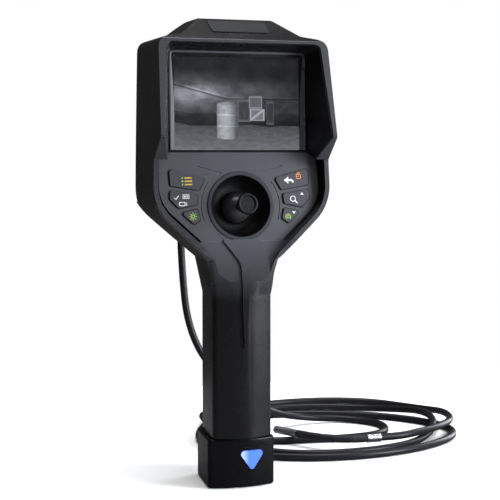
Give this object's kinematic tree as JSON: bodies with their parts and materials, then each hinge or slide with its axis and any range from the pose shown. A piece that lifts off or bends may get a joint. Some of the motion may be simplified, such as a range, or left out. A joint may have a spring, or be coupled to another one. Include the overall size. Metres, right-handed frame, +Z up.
{
  "type": "handheld video borescope",
  "caption": "Handheld inspection camera with hooded screen, keypad, thumb joystick, battery grip and a long insertion tube ending in a bending camera tip.",
  "frame": {"origin": "middle of the base's underside, which stands on the surface", "axes": "+Z up along the grip, -Y towards the user who looks at the screen, +X to the user's right"},
  "size_m": [0.3114, 0.3009, 0.3365],
  "materials": {
    "housing_black": "fine moulded grain, matt",
    "rim_grey": "satin, slightly lighter than the shell",
    "panel_grey": "satin",
    "plate_silver": "brushed",
    "bezel_black": "smooth, semi-gloss",
    "screen_glass": "clear, hard coated",
    "screen_picture": "backlit greyscale inspection picture",
    "gasket": "matt",
    "key_purple_grey": "silicone, matt",
    "joystick_black": "smooth, slightly glossy",
    "cap_black": "textured thumb face",
    "steel": "turned",
    "brass_pin": "turned",
    "board_green": "solder mask",
    "inner_black": "plain",
    "button_blue": "glossy",
    "battery_dark": null,
    "base_black": "fine moulded grain, matt",
    "boot_rubber": "matt",
    "tube_black": "fine braid under a smooth coat, semi-gloss",
    "collar_silver": "polished",
    "bending_black": "fine mesh, matt",
    "head_silver": "polished",
    "lens_glass": "coated",
    "lamp_glass": "clear"
  },
  "bodies": {
    "housing": {"front_shell": "housing_black", "rear_shell": "housing_black", "rim_trim": "rim_grey", "key_panel": "panel_grey", "top_plate": "plate_silver", "rear_screws": "steel", "screen_bezel": "bezel_black", "screen_glass": "screen_glass", "screen_gasket": "gasket", "lcd_module": "screen_picture", "lcd_bracket": "steel", "main_board": "board_green", "key_board": "board_green", "joystick_dish": "bezel_black", "joystick_frame": "inner_black", "port_block": "inner_black", "port_hinge_pin": "steel", "battery_contacts": "brass_pin", "tube_gland": "inner_black", "strain_relief": "boot_rubber", "insertion_tube": "tube_black", "tube_collar": "collar_silver"},
    "battery": {"battery_cap": "base_black", "cap_seal": "gasket", "battery_pack": "battery_dark"},
    "release_button": {"release_button": "button_blue"},
    "joystick_gimbal": {"joystick_gimbal": "brass_pin"},
    "joystick": {"joystick_dome": "joystick_black", "joystick_stem": "joystick_black", "joystick_cap": "cap_black", "wire_plate": "steel"},
    "port_cover": {"port_cover": "gasket"},
    "key_menu": {"key_menu": "key_purple_grey"},
    "key_ok": {"key_ok": "key_purple_grey"},
    "key_lamp": {"key_lamp": "key_purple_grey"},
    "key_back": {"key_back": "key_purple_grey"},
    "key_zoom": {"key_zoom": "key_purple_grey"},
    "key_mode": {"key_mode": "key_purple_grey"},
    "bending_link_1": {"bending_link_1": "bending_black"},
    "bending_link_2": {"bending_link_2": "bending_black"},
    "bending_link_3": {"bending_link_3": "bending_black"},
    "bending_link_4": {"bending_link_4": "bending_black"},
    "bending_link_5": {"bending_link_5": "bending_black"},
    "camera_head": {"camera_head": "head_silver", "tip_lens": "lens_glass", "tip_lamps": "lamp_glass"}
  },
  "joints": [
    {"name": "key_menu_press", "type": "slide", "parent": "housing", "child": "key_menu", "axis": [0, 0.9896, -0.1437], "range_m": [0, 0.0008], "stiffness_N_per_m": 400, "springref_m": -0.0012},
    {"name": "key_ok_press", "type": "slide", "parent": "housing", "child": "key_ok", "axis": [0, 0.9896, -0.1437], "range_m": [0, 0.0008], "stiffness_N_per_m": 400, "springref_m": -0.0012},
    {"name": "key_lamp_press", "type": "slide", "parent": "housing", "child": "key_lamp", "axis": [0, 0.9896, -0.1437], "range_m": [0, 0.0008], "stiffness_N_per_m": 400, "springref_m": -0.0012},
    {"name": "key_back_press", "type": "slide", "parent": "housing", "child": "key_back", "axis": [0, 0.9896, -0.1437], "range_m": [0, 0.0008], "stiffness_N_per_m": 400, "springref_m": -0.0012},
    {"name": "key_zoom_press", "type": "slide", "parent": "housing", "child": "key_zoom", "axis": [0, 0.9896, -0.1437], "range_m": [0, 0.0008], "stiffness_N_per_m": 400, "springref_m": -0.0012},
    {"name": "key_mode_press", "type": "slide", "parent": "housing", "child": "key_mode", "axis": [0, 0.9896, -0.1437], "range_m": [0, 0.0008], "stiffness_N_per_m": 400, "springref_m": -0.0012},
    {"name": "joystick_up_down", "type": "hinge", "parent": "housing", "child": "joystick_gimbal", "pos_m": [0, -0.00873, 0.20113], "axis": [1, 0, 0], "range_deg": [-16, 16], "stiffness_Nm_per_rad": 0.03},
    {"name": "joystick_left_right", "type": "hinge", "parent": "joystick_gimbal", "child": "joystick", "pos_m": [0, -0.00873, 0.20113], "axis": [0, 0.1437, 0.9896], "range_deg": [-16, 16], "stiffness_Nm_per_rad": 0.03},
    {"name": "battery_slide", "type": "slide", "parent": "housing", "child": "battery", "axis": [0, 0, -1], "range_m": [0, 0.13]},
    {"name": "release_press", "type": "slide", "parent": "battery", "child": "release_button", "axis": [0, 1, 0], "range_m": [0, 0.0012], "stiffness_N_per_m": 500, "springref_m": -0.001},
    {"name": "port_cover_hinge", "type": "hinge", "parent": "housing", "child": "port_cover", "pos_m": [0.0662, 0.0113, 0.28], "axis": [0, 0, 1], "range_deg": [0, 100]},
    {"name": "tip_bend_1", "type": "hinge", "parent": "housing", "child": "bending_link_1", "pos_m": [0.131, 0.052, 0.01], "axis": [0, 0, 1], "range_deg": [-8, 8]},
    {"name": "tip_bend_2", "type": "hinge", "parent": "bending_link_1", "child": "bending_link_2", "pos_m": [0.11912, 0.05367, 0.01], "axis": [0, 0, 1], "range_deg": [-8, 8]},
    {"name": "tip_bend_3", "type": "hinge", "parent": "bending_link_2", "child": "bending_link_3", "pos_m": [0.10815, 0.05855, 0.01], "axis": [0, 0, 1], "range_deg": [-8, 8]},
    {"name": "tip_bend_4", "type": "hinge", "parent": "bending_link_3", "child": "bending_link_4", "pos_m": [0.09896, 0.06626, 0.01], "axis": [0, 0, 1], "range_deg": [-8, 8]},
    {"name": "tip_bend_5", "type": "hinge", "parent": "bending_link_4", "child": "bending_link_5", "pos_m": [0.09174, 0.07585, 0.01], "axis": [0, 0, 1], "range_deg": [-8, 8]},
    {"name": "tip_bend_6", "type": "hinge", "parent": "bending_link_5", "child": "camera_head", "pos_m": [0.08592, 0.08634, 0.01], "axis": [0, 0, 1], "range_deg": [-8, 8]}
  ],
  "couplings": [
    {"joint": "tip_bend_1", "follows": "joystick_left_right", "ratio": 0.5},
    {"joint": "tip_bend_2", "follows": "joystick_left_right", "ratio": 0.5},
    {"joint": "tip_bend_3", "follows": "joystick_left_right", "ratio": 0.5},
    {"joint": "tip_bend_4", "follows": "joystick_left_right", "ratio": 0.5},
    {"joint": "tip_bend_5", "follows": "joystick_left_right", "ratio": 0.5},
    {"joint": "tip_bend_6", "follows": "joystick_left_right", "ratio": 0.5}
  ]
}
